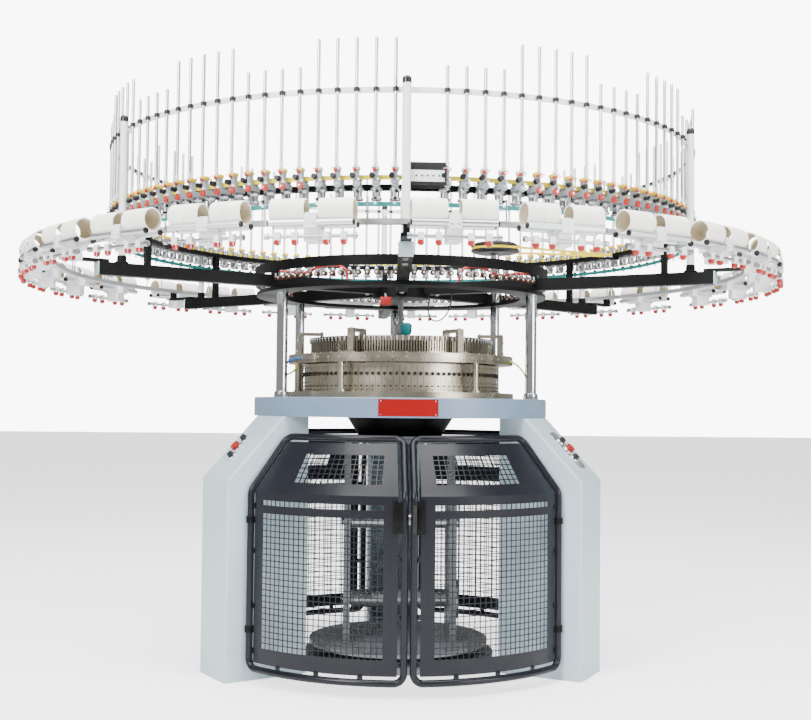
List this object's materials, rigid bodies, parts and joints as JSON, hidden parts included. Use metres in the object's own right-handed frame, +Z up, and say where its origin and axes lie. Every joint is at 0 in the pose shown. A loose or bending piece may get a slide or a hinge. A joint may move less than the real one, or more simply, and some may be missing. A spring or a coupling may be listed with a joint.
{
  "type": "industrial circular knitting machine",
  "caption": "Large circular knitting machine on a floor stand, with caged take-down, yarn feeder rings and elastane roller ring.",
  "frame": {"origin": "underside of the floor bearing disc, on the machine's vertical axis", "axes": "+Z up along the axis; -Y towards the operator's doors; +X to the operator's right"},
  "size_m": [3.3276, 3.3308, 2.403],
  "materials": {
    "leg_paint": "pale blue-grey gloss enamel",
    "table_paint": "slate-blue enamel",
    "black_paint": "satin black enamel",
    "door_paint": "dark slate powder coat",
    "white_paint": "white enamel",
    "nickel": "warm nickel-plated, machined",
    "steel": "turned steel",
    "chrome": "polished",
    "aluminium": "drawn tube and profile",
    "cast_grey": "grey enamel on castings",
    "core_board": "ivory wound yarn core",
    "grey_plastic": "moulded",
    "white_plastic": "moulded",
    "black_plastic": "moulded",
    "red_plastic": "moulded",
    "belt_yellow": "toothed belt",
    "blue_hose": "flexible hose",
    "yellow_hose": "flexible hose",
    "green_hose": "flexible hose",
    "red_hose": "flexible hose"
  },
  "bodies": {
    "frame": {"leg_left": "leg_paint", "leg_right": "leg_paint", "leg_rear": "leg_paint", "table_plate": "table_paint", "bearing_housing": "black_paint", "floor_bearing": "cast_grey", "base_ring": "nickel", "cam_boxes": "nickel", "sinker_ring": "nickel", "yarn_fingers": "nickel", "ring_gates": "nickel", "quality_belt": "belt_yellow", "columns": "chrome", "column_ring": "black_paint", "spider_hub": "black_paint", "spider_arms": "black_paint", "band_ring": "black_paint", "ring_stands": "black_paint", "centre_fan": "cast_grey", "tube_ring": "white_paint", "yarn_tubes": "aluminium", "feeder_rail": "black_paint", "feeder_housings": "grey_plastic", "feeder_wheels": "steel", "feeder_belts": "belt_yellow", "roller_rail": "aluminium", "roller_brackets": "white_plastic", "drive_rollers": "aluminium", "yarn_cores": "core_board", "sensor_rails": "steel", "stop_sensors": "white_plastic", "sensor_lenses": "red_plastic", "rear_guards": "door_paint", "door_hinges": "black_paint", "hose_blue": "blue_hose", "hose_yellow": "yellow_hose", "hose_green": "green_hose", "hose_red_left": "red_hose", "hose_red_right": "red_hose", "cable_black": "black_plastic"},
    "door_left": {"door_frame_left": "door_paint", "door_panel_left": "door_paint"},
    "door_right": {"door_frame_right": "door_paint", "door_panel_right": "door_paint"},
    "handle": {"door_handle": "black_plastic"},
    "cylinder": {"needle_cylinder": "steel", "ring_gear": "steel"},
    "drive": {"drive_shaft": "chrome", "quality_pulley": "black_plastic"},
    "idler": {"belt_idler": "white_plastic"},
    "takedown": {"takedown_frame": "cast_grey"},
    "nip_front": {"takedown_roller_front": "steel"},
    "nip_back": {"takedown_roller_back": "steel"},
    "cloth": {"cloth_roller": "steel"},
    "start_button_left": {"start_button_left": "black_plastic"},
    "stop_button_left": {"stop_button_left": "red_plastic"},
    "inch_button_left": {"inch_button_left": "black_plastic"},
    "start_button_right": {"start_button_right": "black_plastic"},
    "stop_button_right": {"stop_button_right": "red_plastic"},
    "inch_button_right": {"inch_button_right": "black_plastic"}
  },
  "joints": [
    {"name": "door_left_hinge", "type": "hinge", "parent": "frame", "child": "door_left", "pos_m": [-0.62823, -0.53245, 0.4], "axis": [0, 0, 1], "range_deg": [-90, 0]},
    {"name": "door_right_hinge", "type": "hinge", "parent": "frame", "child": "door_right", "pos_m": [0.62823, -0.53245, 0.4], "axis": [0, 0, 1], "range_deg": [0, 90]},
    {"name": "handle_turn", "type": "hinge", "parent": "door_right", "child": "handle", "pos_m": [0.018, -0.842, 0.687], "axis": [0, 1, 0], "range_deg": [0, 90]},
    {"name": "cylinder_spin", "type": "hinge", "parent": "frame", "child": "cylinder", "pos_m": [0, 0, 1.2], "axis": [0, 0, 1], "continuous": true},
    {"name": "takedown_spin", "type": "hinge", "parent": "frame", "child": "takedown", "pos_m": [0, 0, 0.5], "axis": [0, 0, 1], "continuous": true},
    {"name": "drive_spin", "type": "hinge", "parent": "frame", "child": "drive", "pos_m": [0.47114, 0.31184, 1.5], "axis": [0, 0, 1], "continuous": true},
    {"name": "idler_spin", "type": "hinge", "parent": "frame", "child": "idler", "pos_m": [1.06428, 0.47385, 1.885], "axis": [0, 0, 1], "continuous": true},
    {"name": "nip_front_spin", "type": "hinge", "parent": "takedown", "child": "nip_front", "pos_m": [0, -0.033, 0.6], "axis": [1, 0, 0], "continuous": true},
    {"name": "nip_back_spin", "type": "hinge", "parent": "takedown", "child": "nip_back", "pos_m": [0, 0.033, 0.6], "axis": [1, 0, 0], "continuous": true},
    {"name": "cloth_spin", "type": "hinge", "parent": "takedown", "child": "cloth", "pos_m": [0, 0, 0.25], "axis": [1, 0, 0], "continuous": true},
    {"name": "start_press_left", "type": "slide", "parent": "frame", "child": "start_button_left", "axis": [0.6256, 0.3612, -0.6915], "range_m": [0, 0.004], "stiffness_N_per_m": 1000, "springref_m": -0.001},
    {"name": "stop_press_left", "type": "slide", "parent": "frame", "child": "stop_button_left", "axis": [0.6256, 0.3612, -0.6915], "range_m": [0, 0.004], "stiffness_N_per_m": 1000, "springref_m": -0.001},
    {"name": "inch_press_left", "type": "slide", "parent": "frame", "child": "inch_button_left", "axis": [0.6256, 0.3612, -0.6915], "range_m": [0, 0.004], "stiffness_N_per_m": 1000, "springref_m": -0.001},
    {"name": "start_press_right", "type": "slide", "parent": "frame", "child": "start_button_right", "axis": [-0.6256, 0.3612, -0.6915], "range_m": [0, 0.004], "stiffness_N_per_m": 1000, "springref_m": -0.001},
    {"name": "stop_press_right", "type": "slide", "parent": "frame", "child": "stop_button_right", "axis": [-0.6256, 0.3612, -0.6915], "range_m": [0, 0.004], "stiffness_N_per_m": 1000, "springref_m": -0.001},
    {"name": "inch_press_right", "type": "slide", "parent": "frame", "child": "inch_button_right", "axis": [-0.6256, 0.3612, -0.6915], "range_m": [0, 0.004], "stiffness_N_per_m": 1000, "springref_m": -0.001}
  ],
  "couplings": [
    {"joint": "takedown_spin", "follows": "cylinder_spin", "ratio": 1},
    {"joint": "drive_spin", "follows": "cylinder_spin", "ratio": -7.6923},
    {"joint": "nip_front_spin", "follows": "cylinder_spin", "ratio": 0.8},
    {"joint": "nip_back_spin", "follows": "cylinder_spin", "ratio": -0.8},
    {"joint": "cloth_spin", "follows": "cylinder_spin", "ratio": 0.6}
  ]
}
